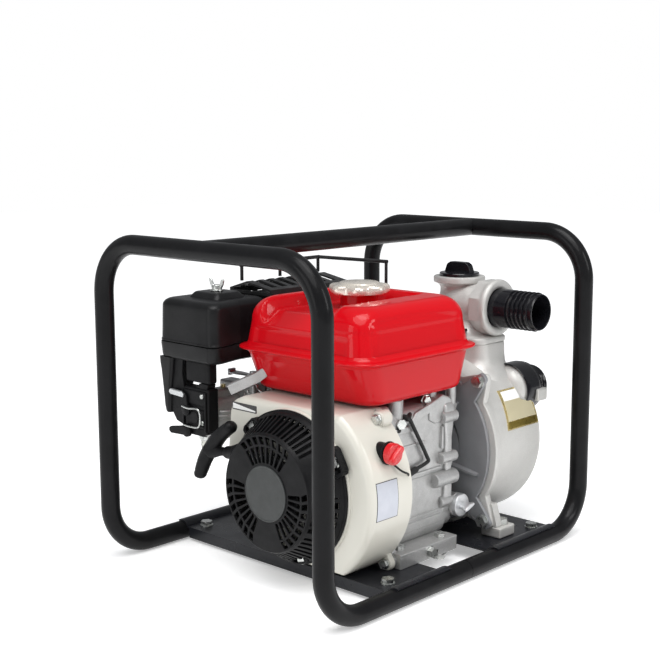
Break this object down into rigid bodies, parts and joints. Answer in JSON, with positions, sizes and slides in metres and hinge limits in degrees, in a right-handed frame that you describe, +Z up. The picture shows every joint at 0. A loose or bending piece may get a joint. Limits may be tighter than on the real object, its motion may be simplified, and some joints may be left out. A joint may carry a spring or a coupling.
{
  "type": "portable fire pump",
  "caption": "Portable engine-driven self-priming water pump in a tubular roll frame, with hose barbs, recoil starter and fuel tank.",
  "frame": {"origin": "bottom centre of the roll frame's bounding box, on the ground under the rails", "axes": "+X to the right seen from the starter, +Y from the starter towards the pump, +Z up"},
  "size_m": [0.38, 0.5, 0.4],
  "materials": {
    "frame_black": "satin powder coat",
    "plate_black": "satin powder coat",
    "zinc_steel": "bright zinc plate",
    "cast_aluminium": "as cast",
    "cream_paint": "semi gloss paint",
    "pump_cast": "blasted and painted casting",
    "dark_grey_cast": "satin paint on a casting",
    "machined_steel": "ground",
    "cast_iron": "as cast",
    "black_plastic": "fine texture",
    "black_gloss": "gloss",
    "grey_label": "brushed foil look",
    "tank_red": "high gloss paint",
    "chrome": "plated",
    "red_plastic": "gloss",
    "rubber": "matte",
    "rope": "braided",
    "filter_foam": "foam and pleated paper",
    "clear_cup": "translucent",
    "brass": "machined",
    "silver_metal": "bright plate",
    "heat_black": "heat-resistant matte paint"
  },
  "bodies": {
    "root": {"front_hoop": "frame_black", "rear_hoop": "frame_black", "handle_bar": "frame_black", "rail_spigots": "zinc_steel", "base_plate": "plate_black", "m8_bolts": "zinc_steel", "m8_nuts": "zinc_steel", "m6_bolts": "zinc_steel", "crankcase": "cast_aluminium", "side_cover": "cast_aluminium", "cylinder_head": "cast_aluminium", "valve_cover": "cream_paint", "spark_plug": "zinc_steel", "plug_cap": "rubber", "main_bearings": "machined_steel", "oil_seals": "rubber", "piston": "machined_steel", "wrist_pin": "machined_steel", "fan_cover": "cream_paint", "recoil_housing": "black_plastic", "recoil_spring": "machined_steel", "centre_label": "grey_label", "stop_switch": "black_plastic", "switch_cable": "rubber", "oil_drain_bolt": "zinc_steel", "fuel_tank": "tank_red", "carburettor": "cast_aluminium", "sediment_cup": "clear_cup", "air_cleaner_case": "black_plastic", "filter_element": "filter_foam", "muffler": "heat_black", "muffler_guard": "heat_black", "wire_guard": "heat_black", "pump_back_cover": "dark_grey_cast", "pump_casing": "pump_cast", "volute": "cast_iron", "shaft_seal": "rubber", "discharge_elbow": "pump_cast", "union_nuts": "pump_cast", "hose_barbs": "black_gloss"},
    "crank": {"crankshaft": "machined_steel", "flywheel": "cast_iron", "cooling_fan": "black_plastic", "impeller": "cast_iron"},
    "cam": {"camshaft": "machined_steel"},
    "rod": {"connecting_rod": "machined_steel"},
    "reel": {"rope_reel": "black_plastic", "starter_rope": "rope"},
    "handle": {"pull_handle": "black_plastic"},
    "switch_knob": {"stop_knob": "red_plastic"},
    "throttle_arm": {"throttle_lever": "silver_metal"},
    "butterfly": {"throttle_plate": "brass"},
    "choke_arm": {"choke_lever": "silver_metal"},
    "fuel_arm": {"fuel_lever": "black_plastic"},
    "tank_cap": {"fuel_cap": "chrome"},
    "pump_cap": {"filler_cap": "black_gloss"},
    "oil_cap": {"dipstick": "silver_metal"},
    "air_cover": {"air_cleaner_cover": "black_plastic"},
    "air_nut": {"wing_nut": "zinc_steel"},
    "suction_flap": {"check_valve": "rubber"}
  },
  "joints": [
    {"name": "crank_spin", "type": "hinge", "parent": "root", "child": "crank", "pos_m": [0.034, 0, 0.113], "axis": [0, 1, 0], "continuous": true},
    {"name": "cam_spin", "type": "hinge", "parent": "root", "child": "cam", "pos_m": [0.061, 0, 0.0725], "axis": [0, 1, 0], "continuous": true},
    {"name": "rod_swing", "type": "hinge", "parent": "crank", "child": "rod", "pos_m": [0.01361, 0, 0.12251], "axis": [0, 1, 0], "continuous": true},
    {"name": "starter_pull", "type": "slide", "parent": "root", "child": "handle", "axis": [-0.9976, 0, -0.0689], "range_m": [0, 0.12], "stiffness_N_per_m": 60, "springref_m": -0.05},
    {"name": "reel_spin", "type": "hinge", "parent": "root", "child": "reel", "pos_m": [0.034, 0, 0.113], "axis": [0, 1, 0], "range_deg": [-192, 0]},
    {"name": "stop_turn", "type": "hinge", "parent": "root", "child": "switch_knob", "pos_m": [0.155, -0.104, 0.166], "axis": [1, 0, 0], "range_deg": [0, 50]},
    {"name": "throttle_turn", "type": "hinge", "parent": "root", "child": "throttle_arm", "pos_m": [-0.092, -0.08, 0.215], "axis": [0, 0, 1], "range_deg": [0, 40]},
    {"name": "butterfly_turn", "type": "hinge", "parent": "root", "child": "butterfly", "pos_m": [-0.126, -0.1, 0.178], "axis": [0, 0, 1], "range_deg": [0, 82]},
    {"name": "choke_turn", "type": "hinge", "parent": "root", "child": "choke_arm", "pos_m": [-0.14, -0.148, 0.178], "axis": [0, 1, 0], "range_deg": [0, 35]},
    {"name": "fuel_valve_turn", "type": "hinge", "parent": "root", "child": "fuel_arm", "pos_m": [-0.14, -0.148, 0.152], "axis": [0, 1, 0], "range_deg": [-75, 0]},
    {"name": "fuel_cap_lift", "type": "slide", "parent": "root", "child": "tank_cap", "axis": [0, 0, 1], "range_m": [0, 0.035]},
    {"name": "filler_cap_lift", "type": "slide", "parent": "root", "child": "pump_cap", "axis": [0, 0, 1], "range_m": [0, 0.028]},
    {"name": "dipstick_pull", "type": "slide", "parent": "root", "child": "oil_cap", "axis": [1, 0, 0], "range_m": [0, 0.045]},
    {"name": "air_cover_lift", "type": "slide", "parent": "root", "child": "air_cover", "axis": [0, 0, 1], "range_m": [0, 0.055]},
    {"name": "wing_nut_spin", "type": "hinge", "parent": "air_cover", "child": "air_nut", "pos_m": [-0.135, -0.1, 0.325], "axis": [0, 0, 1], "continuous": true},
    {"name": "suction_flap_swing", "type": "hinge", "parent": "root", "child": "suction_flap", "pos_m": [0.099, 0.2057, 0.2085], "axis": [1, 0, 0], "range_deg": [-47, 0]}
  ],
  "couplings": [
    {"joint": "cam_spin", "follows": "crank_spin", "ratio": -0.5},
    {"joint": "rod_swing", "follows": "crank_spin", "ratio": -1},
    {"joint": "reel_spin", "follows": "starter_pull", "rad_per_m": -27.778},
    {"joint": "butterfly_turn", "follows": "throttle_turn", "ratio": 2}
  ]
}
